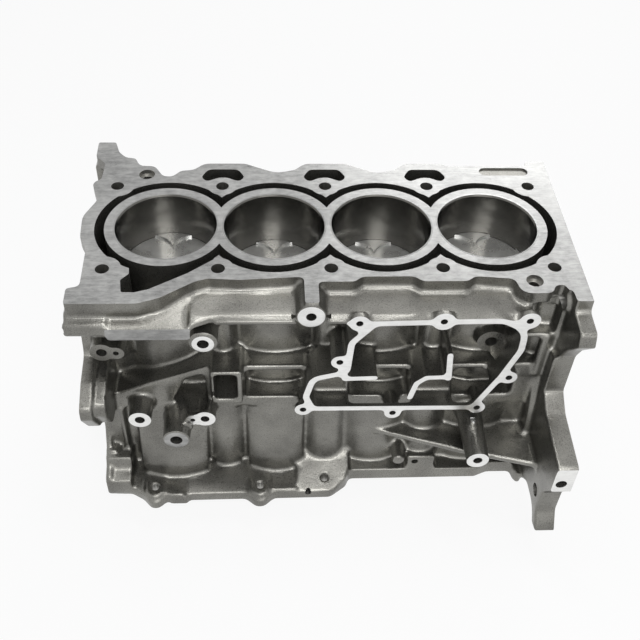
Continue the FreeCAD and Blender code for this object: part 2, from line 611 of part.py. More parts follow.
def piston_rings(x, cylinder):
    """Top, second and oil rings, each with its gap."""
    top = wrist_z(cylinder) + COMPRESSION
    rings = []
    for k, (depth, height) in enumerate(RING_GROOVES):
        z0 = top + depth - height + 0.05
        band = ring("z", x, 0, BORE_R - 0.02, GROOVE_R + 0.5, z0, z0 + height - 0.1)
        gap = block(x + 30, x + 50, -0.4, 0.4, z0 - 1, z0 + height + 1)
        gap.rotate(V(x, 0, 0), V(0, 0, 1), 120 * k + 45)
        rings.append(band.cut(gap))
    return Part.makeCompound(rings)


def wrist_pin(x, cylinder):
    return ring("x", 0, wrist_z(cylinder), WRIST_R, 6, x - 28.5, x + 28.5)


def circlips(x, cylinder):
    """Snap rings in the two pin bores."""
    clips = []
    for side in (-1, 1):
        c = x + side * 29.4
        clip = ring("x", 0, wrist_z(cylinder), WRIST_R + 0.9, WRIST_R - 1.2, c - 0.6, c + 0.6)
        clips.append(clip.cut(block(c - 2, c + 2, -3, 3, wrist_z(cylinder), wrist_z(cylinder) + 20)))
    return Part.makeCompound(clips)


ROD_T = 24.0                      # big-end width along the crank
ROD_HALF = 32.0                   # half width across the big end
ROD_BOLT_Y = 27.0
ROD_BOLT_R = 3.25
ROD_SEAT = -12.0                  # bolt head seat below the joint


def upright_rod(x):
    """Connecting rod with its cap joined, drawn upright over a big end at the origin."""
    small_r = WRIST_R + SMALL_END_GAP
    t = ROD_T / 2
    big = rod("x", 0, 0, 29, x - t, x + t)
    h = ROD_HALF
    shoulder = prism("x", [(-h, ROD_SEAT - 1, 2), (-h, 15, 8), (-14, 40, 12), (14, 40, 12), (h, 15, 8),
                           (h, ROD_SEAT - 1, 2), (19, -24, 6), (-19, -24, 6)], x - t, x + t)
    shank = prism("x", [(-13, 20), (-8.5, ROD_LENGTH), (8.5, ROD_LENGTH), (13, 20)], x - 9, x + 9)
    small = rod("x", 0, ROD_LENGTH, small_r + 4.5, x - 12.5, x + 12.5)
    body = joined([big, shoulder, shank, small])
    web = [(-8, 44, 4), (-5, ROD_LENGTH - 20, 3), (5, ROD_LENGTH - 20, 3), (8, 44, 4)]
    cuts = [rod("x", 0, 0, ROD_BORE_R, x - 20, x + 20),
            rod("x", 0, ROD_LENGTH, small_r, x - 20, x + 20),
            prism("x", web, x - 10, x - 2.5), prism("x", web, x + 2.5, x + 10)]
    for side in (-1, 1):
        y = side * ROD_BOLT_Y
        cuts.append(rod("z", x, y, ROD_BOLT_R + 0.1, -40, 12))
        cuts.append(rod("z", x, y, 5.6, -40, ROD_SEAT))
    return body.cut(cuts)


def placed_rod(shape, cylinder):
    """Moved on to its crankpin and leaned towards its wrist pin."""
    y, z = crankpin(cylinder)
    shape.translate(V(0, y, z))
    return turned(shape, y, z, rod_lean(cylinder))


def connecting_rod(x, cylinder):
    keep = block(x - 40, x + 40, -90, 90, 0, 200)
    return placed_rod(upright_rod(x).common(keep), cylinder)


def rod_cap(x, cylinder):
    keep = block(x - 40, x + 40, -90, 90, -90, 0)
    return placed_rod(upright_rod(x).common(keep), cylinder)


def rod_bolts(x, cylinder):
    bolts = []
    for side in (-1, 1):
        y = side * ROD_BOLT_Y
        shank = rod("z", x, y, ROD_BOLT_R, ROD_SEAT, 11)
        head = rod("z", x, y, 4.9, ROD_SEAT - 6, ROD_SEAT)
        bolts.append(shank.fuse(head))
    return placed_rod(Part.makeCompound(bolts), cylinder)


def shell_pair(x, width, outer, inner, upper):
    """One half of a plain bearing round the origin."""
    whole = ring("x", 0, 0, outer, inner, x - width / 2, x + width / 2)
    half = block(x - 50, x + 50, -90, 90, 0, 90) if upper else block(x - 50, x + 50, -90, 90, -90, 0)
    return whole.common(half)


def rod_shells(x, cylinder):
    halves = [shell_pair(x, ROD_T - 3, ROD_BORE_R, PIN_R + RUNNING, up) for up in (True, False)]
    return placed_rod(Part.makeCompound(halves), cylinder)


def crankshaft():
    """Five mains, four pins, eight webs with counterweights, nose and flange."""
    parts = [rod("x", 0, CRANK_Z, MAIN_R, x - MAIN_LENGTH / 2 - 0.5, x + MAIN_LENGTH / 2 + 0.5)
             for x in MAIN_X]
    for k, x in enumerate(CYLINDER_X):
        y, z = crankpin(k)
        parts.append(rod("x", y, z, PIN_R, x - PIN_LENGTH / 2 - 0.5, x + PIN_LENGTH / 2 + 0.5))
        for side in (-1, 1):
            near = x + side * PIN_LENGTH / 2
            far = x + side * (PIN_LENGTH / 2 + WEB_T)
            web = crank_web(min(near, far), max(near, far))
            parts.append(turned(web, 0, CRANK_Z, -math.degrees(crank_angle(k))))
    parts.append(rod("x", 0, CRANK_Z, 24, -206, -199))
    parts.append(rod("x", 0, CRANK_Z, NOSE_R, -205 - NOSE_LENGTH, -205))
    parts.append(rod("x", 0, CRANK_Z, SEAL_R, 200.5, 213.5))
    body = joined(parts)
    cuts = [rod("x", 0, CRANK_Z, 5, -241, -215), rod("x", 0, CRANK_Z, 12, 204, 214)]
    for k in range(8):
        a = math.radians(45 * k + 22.5)
        cuts.append(rod("x", FLYWHEEL_R * math.cos(a), CRANK_Z + FLYWHEEL_R * math.sin(a), 4.4, 199, 214))
    cuts.append(block(-238, -212, -2.5, 2.5, CRANK_Z + 13, CRANK_Z + 17))
    return body.cut(cuts).removeSplitter()


FLYWHEEL_R = 32.0
NOSE_R = 16.0
NOSE_LENGTH = 35.0
COUNTER_R = 66.0


def crank_web(x0, x1):
    """Cheek from the main journal to a crankpin straight above, with its counterweight."""
    cheek = prism("x", [(-30, CRANK_Z - 10, 8), (-24, CRANK_Z + THROW + 18, 16),
                        (24, CRANK_Z + THROW + 18, 16), (30, CRANK_Z - 10, 8)], x0, x1)
    disc = rod("x", 0, CRANK_Z, COUNTER_R, x0, x1)
    fan = prism("x", [(0, CRANK_Z + 22), (-90, CRANK_Z - 30), (-90, CRANK_Z - 90),
                      (90, CRANK_Z - 90), (90, CRANK_Z - 30)], x0, x1)
    return cheek.fuse(disc.common(fan))


# ---------------------------------------------------------------- bearings and caps
def main_cap(x):
    t = CAP_T / 2
    low = CRANK_Z - CAP_DEPTH
    shape = prism("x", [(-CAP_HALF + 0.02, CRANK_Z), (-CAP_HALF + 0.02, CRANK_Z - 22, 3),
                        (-30, low, 8), (30, low, 8), (CAP_HALF - 0.02, CRANK_Z - 22, 3),
                        (CAP_HALF - 0.02, CRANK_Z)], x - t, x + t)
    cuts = [rod("x", 0, CRANK_Z, MAIN_BORE_R, x - 20, x + 20)]
    for y in (-CAP_BOLT_Y, CAP_BOLT_Y):
        cuts.append(rod("z", x, y, 5.1, low - 1, CRANK_Z + 1))
        cuts.append(rod("z", x, y, 9.5, low - 1, CRANK_Z - 24))
    return shape.cut(cuts)


def main_cap_bolts():
    bolts = []
    for x in MAIN_X:
        for y in (-CAP_BOLT_Y, CAP_BOLT_Y):
            shank = rod("z", x, y, 4.5, CRANK_Z - 24, CRANK_Z + 40)
            head = prism("z", hexagon(x, y, 8.0), CRANK_Z - 33, CRANK_Z - 24)
            bolts.append(shank.fuse(head))
    return Part.makeCompound(bolts)


def hexagon(x, y, corner):
    return [(x + corner * math.cos(math.radians(60 * k)), y + corner * math.sin(math.radians(60 * k)))
            for k in range(6)]


def main_shells(upper):
    shells = []
    for x in MAIN_X:
        half = shell_pair(x, MAIN_LENGTH - 4, MAIN_BORE_R, MAIN_R + RUNNING, upper)
        half.translate(V(0, 0, CRANK_Z))
        shells.append(half)
    return Part.makeCompound(shells)


def oil_seal():
    return ring("x", 0, CRANK_Z, SEAL_BORE_R, SEAL_R + 0.05, 202, 211)


# ---------------------------------------------------------------- write the nodes
def nodes():
    table = {"cylinder_block": cylinder_block(), "crankshaft": crankshaft(),
             "main_cap_bolts": main_cap_bolts(), "main_shells_upper": main_shells(True),
             "main_shells_lower": main_shells(False), "rear_oil_seal": oil_seal()}
    for k, x in enumerate(MAIN_X):
        table["main_bearing_cap_%d" % (k + 1)] = main_cap(x)
    for k, x in enumerate(CYLINDER_X):
        n = k + 1
        table["cylinder_liner_%d" % n] = liner(x)
        table["piston_%d" % n] = piston(x, k)
        table["piston_rings_%d" % n] = piston_rings(x, k)
        table["wrist_pin_%d" % n] = wrist_pin(x, k)
        table["circlips_%d" % n] = circlips(x, k)
        table["connecting_rod_%d" % n] = connecting_rod(x, k)
        table["rod_cap_%d" % n] = rod_cap(x, k)
        table["rod_bolts_%d" % n] = rod_bolts(x, k)
        table["rod_shells_%d" % n] = rod_shells(x, k)
    return table


os.makedirs("parts", exist_ok=True)
for name, shape in nodes().items():
    shape.exportStep("parts/%s.step" % name)
    print(name, shape.isValid(), len(shape.Solids), round(shape.Volume / 1000, 1))
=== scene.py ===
"""Looks of the short block: the casting is rebuilt with fillets and sand grain, then machined."""
import json
import math

import bmesh
import bpy
import numpy as np
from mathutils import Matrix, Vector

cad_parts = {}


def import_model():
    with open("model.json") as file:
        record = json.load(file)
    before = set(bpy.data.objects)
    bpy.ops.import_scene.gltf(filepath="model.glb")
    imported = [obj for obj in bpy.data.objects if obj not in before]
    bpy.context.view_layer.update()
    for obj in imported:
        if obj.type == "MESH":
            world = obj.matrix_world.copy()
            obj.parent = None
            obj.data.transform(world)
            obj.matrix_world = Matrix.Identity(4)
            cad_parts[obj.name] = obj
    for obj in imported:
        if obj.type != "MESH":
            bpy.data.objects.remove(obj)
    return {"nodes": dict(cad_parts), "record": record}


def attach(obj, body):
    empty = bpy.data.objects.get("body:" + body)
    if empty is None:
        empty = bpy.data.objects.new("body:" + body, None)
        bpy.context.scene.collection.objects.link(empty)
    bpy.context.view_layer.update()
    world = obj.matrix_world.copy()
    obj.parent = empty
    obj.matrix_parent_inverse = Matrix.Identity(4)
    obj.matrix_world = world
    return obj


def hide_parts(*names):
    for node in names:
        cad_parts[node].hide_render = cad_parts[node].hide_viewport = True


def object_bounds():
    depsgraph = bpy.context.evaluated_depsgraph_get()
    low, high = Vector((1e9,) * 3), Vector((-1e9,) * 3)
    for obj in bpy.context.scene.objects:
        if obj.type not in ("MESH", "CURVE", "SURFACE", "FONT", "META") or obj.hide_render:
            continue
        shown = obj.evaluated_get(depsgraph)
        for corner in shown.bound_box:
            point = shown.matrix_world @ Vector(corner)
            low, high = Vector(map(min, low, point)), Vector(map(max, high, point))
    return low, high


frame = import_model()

import openvdb
from mathutils import Matrix, Vector

cad_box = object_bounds()
MM = 0.001

# ------------------------------------------------------------------ sizes, millimetres
PITCH = 94.0
CYLINDER_X = [PITCH * k for k in (-1.5, -0.5, 0.5, 1.5)]
MOUNT = {m["name"]: m for m in frame["record"]["mounts"]}
LEFT = MOUNT["timing_face"]["pos_m"][0] / MM
RIGHT = MOUNT["transmission_face"]["pos_m"][0] / MM
BOTTOM = MOUNT["sump_face"]["pos_m"][2] / MM
SEPARATOR_Y = MOUNT["separator_face"]["pos_m"][1] / MM
LINER_R = 45.5                    # outside of a liner, which the casting is bored to
LINER_DEPTH = 160.0               # more than the liner's length, so the cutter runs through
BARREL_R = 50.0                   # the jacket's core stays outside this
JACKET_R = 62.0                   # just outside the jacket's outer wall
JACKET_DEPTH = 90.0
DECK_EAR_BOTTOM = -34.0           # the deck's left ears stand proud of the timing face down to here

STOCK = 3.5                       # metal left on machined faces before cutting
ROOT = 1.0                        # how far the stock starts inside the face
CUT = STOCK + 7                   # how thick a layer the face cutters take
FACING = 1.6                      # how far a boss's face cutter runs past its radius
CLEAR = 10.0                      # how far hole cutters stick out of a face
FAR = 400.0                       # beyond the block on every side

VOXEL = 1.0                       # of the level set that moulds the casting
ADAPTIVITY = 0.02                 # how far flat stretches of the level set's mesh are simplified
FILLET = 2.5                      # inside corners of the casting
ROUND = 1.1                       # outside edges of the casting
CAST_TRIANGLES = 165000
SHARP_ANGLE = 38                  # degrees, where shading breaks
WELD = 1e-7                       # metres, between points that are one
FLAT = 2e-5                       # metres, how near its plane a machined face lies

# Machined boss faces on the front: x, z, radius, face y, hole radius, hole depth. The first
# few of them get the dark cast colour as painted shade, and the last two are the narrow boss
# and its neighbour.
FRONT_BOSSES = [
    (-194, -65, 10, -90, 4.5, 18), (-182, -66, 7, -90, 2.5, 12), (143, -70, 12.5, -76, 5.5, 16),
    (-107, -45, 12, -100, 5, 25), (-168, -137, 10, -105.5, 4.5, 20), (133, -153, 10, -143.5, 4.2, 26),
    (-110.5, -141, 9.5, -102, 4, 20), (-17.8, -14, 12, -100, 4.3, 26),
    (-121.5, -142.5, 7, -102, 2.2, 12), (-136, -152, 12, -117, 5.5, 30)]
# How many of the first front boss faces get the dark cast colour as painted shade.
PAINTED_SHADE_FACES = 3
NARROW_BOSS = (-121.5, -142.5)
NARROW_FACE = (6.2, -102)         # radius and y of the narrow boss's bright face
BOSS_NEIGHBOUR = (-136, -152, 14.5)     # x, z, radius that the narrow boss's face stops at
# Bosses whose face is bevelled down to a smaller radius: x, z, radius, face y.
BEVELLED = [(-107, -45, 9.3, -100), (-136, -152, 10.8, -117), (-17.8, -14, 11.3, -100)]
# Pairs of front bosses that share a face: x and z ranges between them, and the face's y.
SHARED_FACES = [(-194, -182, -71, -60, -90), (-121.5, -110.5, -147, -136.5, -102)]
REAR_BOSSES = [(60, -165, 12, 104, 4.6, 20), (60, -205, 12, 104, 4.6, 20),
               (128, -165, 12, 104, 4.6, 20), (128, -205, 12, 104, 4.6, 20), (0, -112, 12, 100, 4.2, 20)]
# Other faces on the front: x range, z range and the face's y.
SEPARATOR_FACE = (-36, 176, -141.8, -4, SEPARATOR_Y)
PAD_FACE = (190, 216, -164, -125, -172)
LEDGE_FACE = (-208, -115.5, -33, -17, -108)

SEPARATOR_BOLTS = [(21.5, -18), (7.5, -64.5), (-22.5, -127), (58.5, -133), (90.5, -16.5),
                   (161.5, -16.5), (156.5, -86.5), (134.5, -127)]
HEAD_BOLTS = [(x, y) for x in (-189, -94, 0, 94, 189) for y in (-56.3, 56.3)]
DOWEL_HOLES = [(-164, 74), (168.6, -73)]
RAIL_HOLES = [(-162, -115.5), (-62, -115.5), (0, -108)]         # mirrored to the rear
BLIND_HOLES = [(55, -88), (150, -88)]                           # mirrored too
TRANSMISSION_HOLES = [(-145, -198), (145, -198), (-84, -14), (84, -14)]
PAD_HOLE = (201.5, -150.5)
# Radius and depth of each kind of hole. Rail holes run out above the rail, whose lugs are
# RAIL_THICK high, and transmission holes run out behind their flange.
HEAD_HOLE, HEAD_BORE = (4.6, 88), (5.8, 15)
DOWEL_HOLE, DOWEL_BORE = (5.0, 30), (7.2, 6)
SEPARATOR_HOLE = (3.0, 22)
RAIL_HOLE, RAIL_THICK = (3.6, 40), 9
BLIND_HOLE = (3.6, 12)
TRANSMISSION_HOLE, FLANGE_THICK = (6.5, 32.3), 18.8
PAD_BORE = (5.0, 22)
# Small holes through the rail's edge: x, z, radius, from y, to y.
EDGE_HOLES = [(-16, -232, 3, -104, -130), (88.5, -217, 3.2, -84, -110)]
DECK_SLOT = (147, 193.5, 79, 6, 1.6)                            # x range, y, end radius, depth
# Outline just outside the pocket that opens into the jacket at the left.
POCKET = [(-178, -38), (-98, -38), (-97, -44), (-117.8, -62.4), (-148.5, -82), (-160, -85.5),
          (-171.7, -85.3), (-173.7, -69.6), (-167.4, -61.8), (-168.3, -53), (-178, -44)]
POCKET_DEPTH = 43.0


# ------------------------------------------------------------------ mesh helpers
def at(axis, u, v, w):
    """Millimetres in a plane and along its axis, as a point in metres."""
    point = {"x": (w, u, v), "y": (u, w, v), "z": (u, v, w)}[axis]
    return Vector(point) * MM


def prism_faces(count):
    """Faces of a closed prism whose points are its lower outline and then its upper one."""
    faces = [[k, (k + 1) % count, count + (k + 1) % count, count + k] for k in range(count)]
    return faces + [list(range(count))[::-1], list(range(count, 2 * count))]


def bar(axis, u, v, radius, w0, w1, sides=48):
    """Closed round bar along an axis as points and faces."""
    turns = [2 * math.pi * k / sides for k in range(sides)]
    points = [at(axis, u + radius * math.cos(a), v + radius * math.sin(a), w)
              for w in (w0, w1) for a in turns]
    return points, prism_faces(sides)


def brick(x0, x1, y0, y1, z0, z1):
    """Box between two planes along each axis."""
    points = [Vector((x, y, z)) * MM for x in (x0, x1) for y in (y0, y1) for z in (z0, z1)]
    faces = [[0, 1, 3, 2], [4, 6, 7, 5], [0, 4, 5, 1], [2, 3, 7, 6], [0, 2, 6, 4], [1, 5, 7, 3]]
    return points, faces


def slab(outline, z0, z1):
    """Closed prism along Z over a flat outline."""
    points = [Vector((x, y, z)) * MM for z in (z0, z1) for x, y in outline]
    return points, prism_faces(len(outline))


def spot(x, z, radius, y0, y1, near=None):
    """Round cutter along Y, dented where a neighbouring boss (x, z, radius) has to stay."""
    points, faces = bar("y", x, z, radius, y0, y1)
    if near is None:
        return points, faces
    centre = Vector((near[0], 0, near[1])) * MM
    for point in points:
        away = Vector((point.x, 0, point.z)) - centre
        if away.length < near[2] * MM:
            away = away.normalized() * near[2] * MM
            point.x, point.z = centre.x + away.x, centre.z + away.z
    return points, faces


def rim(x, z, radius, y, width=5.0, slope=0.7, sides=48):
    """Ring cutter that bevels a boss along Y outside the radius of its machined face."""
    section = [(radius, y - 1), (radius, y), (radius + width, y + slope * width),
               (radius + width, y - 1)]
    points = []
    for k in range(sides):
        a = 2 * math.pi * k / sides
        points += [at("y", x + r * math.cos(a), z + r * math.sin(a), w) for r, w in section]
    faces = []
    for k in range(sides):
        a, b = 4 * k, 4 * ((k + 1) % sides)
        faces += [[a + i, a + (i + 1) % 4, b + (i + 1) % 4, b + i] for i in range(4)]
    return points, faces


def stadium(x0, x1, y, radius, z0, z1, steps=16):
    """Closed slot shape with round ends, lying along X."""
    turns = [math.pi * (0.5 + k / steps) for k in range(steps + 1)]
    left = [(x0 + radius + radius * math.cos(a), y + radius * math.sin(a)) for a in turns]
    right = [(x1 - radius - radius * math.cos(a), y - radius * math.sin(a)) for a in turns]
    return slab(left + right, z0, z1)


def mesh_of(parts, name):
    """One mesh from several (points, faces) solids, with outward normals."""
    bm = bmesh.new()
    for points, faces in parts:
        verts = [bm.verts.new(p) for p in points]
        for face in faces:
            bm.faces.new([verts[i] for i in face])
    bmesh.ops.recalc_face_normals(bm, faces=bm.faces)
    mesh = bpy.data.meshes.new(name)
    bm.to_mesh(mesh)
    bm.free()
    return mesh


def object_of(mesh, name):
    """A new object in the scene that shows the mesh."""
    obj = bpy.data.objects.new(name, mesh)
    bpy.context.scene.collection.objects.link(obj)
    return obj


def apply_modifier(obj, kind, **settings):
    """Adds a modifier with these settings and applies it at once."""
    modifier = obj.modifiers.new(kind, kind)
    for key, value in settings.items():
        setattr(modifier, key, value)
    with bpy.context.temp_override(object=obj, active_object=obj, selected_objects=[obj]):
        bpy.ops.object.modifier_apply(modifier=modifier.name)


def cut(obj, parts, material):
    """Takes a group of solids out of the object; the cut faces get the material."""
    mesh = mesh_of(parts, "cutter")
    mesh.materials.append(material)
    cutter = object_of(mesh, "cutter")
    apply_modifier(obj, "BOOLEAN", operation="DIFFERENCE", solver="MANIFOLD", object=cutter,
                   material_mode="TRANSFER")
    bpy.data.objects.remove(cutter)
    bpy.data.meshes.remove(mesh)


# ------------------------------------------------------------------ the casting
def triangles_of(mesh):
    """The mesh's points and triangles as arrays."""
    mesh.calc_loop_triangles()
    points = np.empty(len(mesh.vertices) * 3, dtype=np.float32)
    mesh.vertices.foreach_get("co", points)
    corners = np.empty(len(mesh.loop_triangles) * 3, dtype=np.int32)
    mesh.loop_triangles.foreach_get("vertices", corners)
    return points.reshape(-1, 3), corners.reshape(-1, 3).astype(np.uint32)


def stock_on_faces(mesh, axis, place, side, thick=STOCK):
    """Metal added outside every flat face of the mesh that lies in one machined plane."""
    index = "xyz".index(axis)
    bm = bmesh.new()
    bm.from_mesh(mesh)
    bmesh.ops.remove_doubles(bm, verts=bm.verts, dist=WELD)
    wanted = {f for f in bm.faces if all(abs(v.co[index] - place * MM) < FLAT for v in f.verts)}
    bmesh.ops.delete(bm, geom=[f for f in bm.faces if f not in wanted], context="FACES")
    start = Vector((0, 0, 0))
    start[index] = -side * ROOT * MM
    bmesh.ops.translate(bm, verts=bm.verts, vec=start)
    grown = bmesh.ops.extrude_face_region(bm, geom=bm.faces[:], use_keep_orig=True)
    move = Vector((0, 0, 0))
    move[index] = side * (ROOT + thick) * MM
    bmesh.ops.translate(bm, verts=[v for v in grown["geom"] if isinstance(v, bmesh.types.BMVert)],
                        vec=move)
    bmesh.ops.recalc_face_normals(bm, faces=bm.faces)
    extra = bpy.data.meshes.new("stock")
    bm.to_mesh(extra)
    bm.free()
    return extra


def level_set(points, triangles, quads, reach):
    """Signed distance to the solid, known out to the reach on both sides."""
    grid = openvdb.createLinearTransform(voxelSize=VOXEL * MM)
    band = reach / VOXEL + 2.0
    return openvdb.FloatGrid.createLevelSetFromPolygons(
        points, triangles=triangles, quads=quads, transform=grid, halfWidth=band)


def offset_mesh(grid, distance):
    """The surface this far outside the solid, or inside it if negative."""
    points, triangles, quads = grid.convertToPolygons(distance * MM, 0.0)
    return points, (triangles if len(triangles) else None), quads


def moulded(points, triangles):
    """The solid with every inside corner filleted and every outside edge rounded."""
    grid = level_set(points, triangles, None, FILLET)
    grid = level_set(*offset_mesh(grid, FILLET), FILLET + ROUND)
    grid = level_set(*offset_mesh(grid, -FILLET - ROUND), ROUND)
    points, triangles, quads = grid.convertToPolygons(ROUND * MM, ADAPTIVITY)
    mesh = bpy.data.meshes.new("casting")
    outward = [face[::-1] for face in triangles.tolist() + quads.tolist()]
    mesh.from_pydata(points.tolist(), [], outward)
    mesh.validate()
    return mesh


def merged_copy(mesh, name):
    """The mesh as an object of its own, with the points of neighbouring faces made one."""
    bm = bmesh.new()
    bm.from_mesh(mesh)
    bmesh.ops.remove_doubles(bm, verts=bm.verts, dist=WELD)
    copy = bpy.data.meshes.new(name)
    bm.to_mesh(copy)
    bm.free()
    return object_of(copy, name)


def boolean(obj, operation, other):
    """Joins or takes away the other object, which is then deleted."""
    apply_modifier(obj, "BOOLEAN", operation=operation, solver="MANIFOLD", object=other)
    mesh = other.data
    bpy.data.objects.remove(other)
    bpy.data.meshes.remove(mesh)


def jacket_core(node):
    """The sand core of the water jacket: the space round the barrels that the block leaves."""
    region = [bar("z", x, 0, JACKET_R + 1, -JACKET_DEPTH - 1.5, STOCK + 2, 96) for x in CYLINDER_X]
    core = object_of(mesh_of(region[:1], "core"), "core")
    for part in region[1:] + [slab(POCKET, -POCKET_DEPTH, STOCK + 2)]:
        boolean(core, "UNION", object_of(mesh_of([part], "part"), "part"))
    boolean(core, "DIFFERENCE", merged_copy(node.data, "block"))
    deck = stock_on_faces(node.data, "z", 0.0, 1, STOCK + 6)
    boolean(core, "DIFFERENCE", object_of(deck, "deck"))
    for x in CYLINDER_X:
        barrel = mesh_of([bar("z", x, 0, BARREL_R, -200, 50)], "barrel")
        boolean(core, "DIFFERENCE", object_of(barrel, "barrel"))
    return core


def stock(mesh):
    """Extra metal on every machined face."""
    planes = [("z", 0.0, 1), ("z", BOTTOM, -1), ("x", RIGHT, 1), ("x", LEFT, -1),
              ("y", SEPARATOR_Y, -1), ("y", LEDGE_FACE[4], -1), ("y", PAD_FACE[4], -1)]
    planes += [("y", y, -1) for y in sorted({b[3] for b in FRONT_BOSSES})]
    planes += [("y", y, 1) for y in sorted({b[3] for b in REAR_BOSSES})]
    solids = []
    for axis, place, side in planes:
        extra = stock_on_faces(mesh, axis, place, side)
        if len(extra.polygons):
            solids.append(triangles_of(extra))
        bpy.data.meshes.remove(extra)
    return solids


def both_sides(places):
    """Each place and its mirror image in Y."""
    return [(x, side * y) for x, y in places for side in (-1, 1)]


def plugs():
    """Solids that close the jacket, pocket, slot and holes until they are cut. They are a little
    larger than the cutters."""
    parts = [bar("z", x, 0, JACKET_R, -JACKET_DEPTH - 1, STOCK, 96) for x in CYLINDER_X]
    parts.append(slab(POCKET, -POCKET_DEPTH, STOCK))
    radius, depth = HEAD_HOLE
    parts += [bar("z", x, y, radius + 1, -depth - 2, STOCK) for x, y in HEAD_BOLTS]
    radius, depth = HEAD_BORE
    parts += [bar("z", x, y, radius + 1.2, -depth - 1, STOCK) for x, y in HEAD_BOLTS]
    radius, depth = DOWEL_BORE[0], DOWEL_HOLE[1]
    parts += [bar("z", x, y, radius + 1.8, -depth - 2, STOCK) for x, y in DOWEL_HOLES]
    for x, z, r, y, hole, depth in FRONT_BOSSES:
        parts.append(bar("y", x, z, hole + 1, y + depth + 1, y - STOCK))
    for x, z, r, y, hole, depth in REAR_BOSSES:
        parts.append(bar("y", x, z, hole + 1, y - depth - 1, y + STOCK))
    radius, depth = SEPARATOR_HOLE
    for x, z in SEPARATOR_BOLTS:
        parts.append(bar("y", x, z, radius + 1.2, SEPARATOR_Y + depth + 2, SEPARATOR_Y - STOCK))
    for x, y in both_sides(RAIL_HOLES):
        parts.append(bar("z", x, y, RAIL_HOLE[0] + 1, BOTTOM - STOCK, BOTTOM + RAIL_THICK))
    radius, depth = BLIND_HOLE
    for x, y in both_sides(BLIND_HOLES):
        parts.append(bar("z", x, y, radius + 1, BOTTOM - STOCK, BOTTOM + depth + 1))
    x0, x1, y, radius, depth = DECK_SLOT
    parts.append(brick(x0 - 2, x1 + 1.5, y - radius - 2, y + radius + 2, -depth - 1.4, STOCK))
    for y, z in TRANSMISSION_HOLES:
        parts.append(bar("x", y, z, TRANSMISSION_HOLE[0] + 1, RIGHT - FLANGE_THICK, RIGHT + STOCK))
    radius, depth = PAD_BORE
    parts.append(bar("y", *PAD_HOLE, radius + 1, PAD_FACE[4] - STOCK, PAD_FACE[4] + depth + 1))
    return parts


def raw_casting(node):
    """The block before machining: stock on its machined faces, and its holes not yet drilled."""
    plug_mesh = mesh_of(plugs(), "plugs")
    solids = [triangles_of(node.data)] + stock(node.data) + [triangles_of(plug_mesh)]
    bpy.data.meshes.remove(plug_mesh)
    points, triangles, count = [], [], 0
    for p, t in solids:
        points.append(p)
        triangles.append(t + count)
        count += len(p)
    return moulded(np.vstack(points), np.vstack(triangles).astype(np.uint32))


def face_cutter(x0, x1, z0, z1, y):
    """Block that faces off a rectangle on the front down to y."""
    return brick(x0, x1, y - CUT, y, z0, z1)


def face_ends(obj):
    """Deck, sump, transmission and timing faces."""
    for box in [(-FAR, FAR, -FAR, FAR, 0, CUT), (-FAR, FAR, -FAR, FAR, BOTTOM - CUT, BOTTOM),
                (RIGHT, RIGHT + CUT, -FAR, FAR, -FAR, FAR),
                (LEFT - CUT, LEFT, -FAR, FAR, -FAR, DECK_EAR_BOTTOM)]:
        cut(obj, [brick(*box)], MILLED)


def face_bosses(obj):
    """Faces of the bosses, flange, pad and ledge, and the deck's slot. Cutters that overlap go in
    separate cuts."""
    front = [spot(x, z, r + FACING, y, y - CUT, BOSS_NEIGHBOUR if (x, z) == NARROW_BOSS else None)
             for x, z, r, y, hole, depth in FRONT_BOSSES]
    bright = front[PAINTED_SHADE_FACES:-2]
    # These machined faces get the dark cast colour: painted shade.
    cut(obj, front[:PAINTED_SHADE_FACES:2], CAST)
    cut(obj, front[1:PAINTED_SHADE_FACES:2], CAST)
    cut(obj, bright[::2], SPOTTED)
    cut(obj, bright[1::2], SPOTTED)
    cut(obj, front[-2:-1], CAST)
    radius, y = NARROW_FACE
    cut(obj, [spot(*NARROW_BOSS, radius, y + 0.05, y - CUT, BOSS_NEIGHBOUR)], SPOTTED)
    cut(obj, front[-1:], MILLED)
    rear = [bar("y", x, z, r + FACING, y, y + CUT) for x, z, r, y, hole, depth in REAR_BOSSES]
    cut(obj, rear, MILLED)
    cut(obj, [rim(x, z, r, y) for x, z, r, y in BEVELLED], CAST)
    # The first shared face is machined but gets the dark cast colour: painted shade.
    dark, light = [face_cutter(*face) for face in SHARED_FACES]
    cut(obj, [dark], CAST)
    cut(obj, [light, face_cutter(*SEPARATOR_FACE), face_cutter(*PAD_FACE)], SPOTTED)
    cut(obj, [face_cutter(*LEDGE_FACE)], MILLED)
    x0, x1, y, radius, depth = DECK_SLOT
    cut(obj, [stadium(x0, x1, y, radius, -depth, 5)], CAST)


